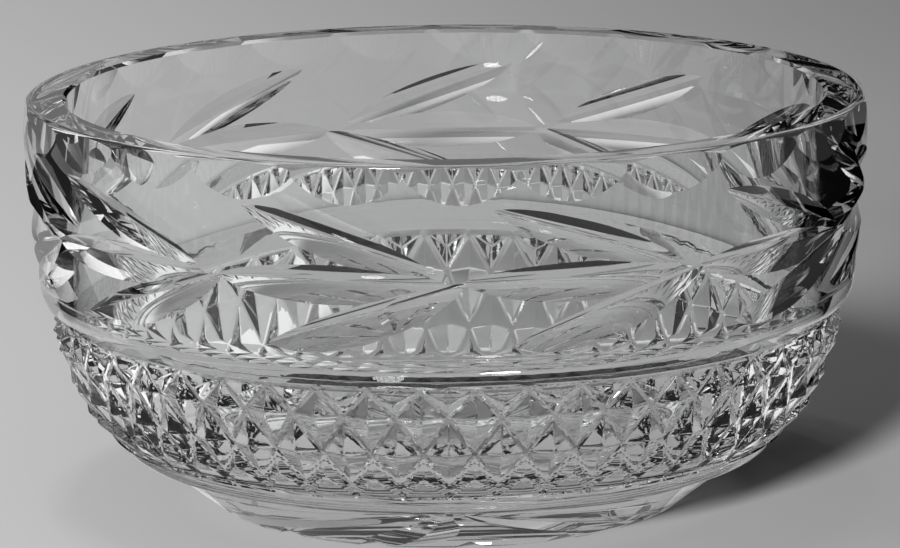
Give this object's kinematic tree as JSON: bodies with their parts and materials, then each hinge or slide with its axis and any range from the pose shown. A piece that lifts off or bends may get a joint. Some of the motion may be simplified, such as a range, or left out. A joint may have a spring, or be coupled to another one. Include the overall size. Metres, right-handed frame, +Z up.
{
  "type": "cut-glass trifle bowl",
  "caption": "Thick round clear-glass serving bowl with a scalloped rim, leaf-cut wall, diamond-cut band and star-cut foot.",
  "frame": {"origin": "middle of the foot's flat underside, on the surface that the bowl stands on", "axes": "+Z up along the bowl's axis; -Y towards the viewer in the picture, where one leaf spray meets at the front; +X to the viewer's right"},
  "size_m": [0.1999, 0.1999, 0.097],
  "materials": {
    "crystal": "clear polished lead crystal, cut facets as bright as the blank"
  },
  "bodies": {
    "root": {"glass_bowl": "crystal"}
  },
  "joints": []
}
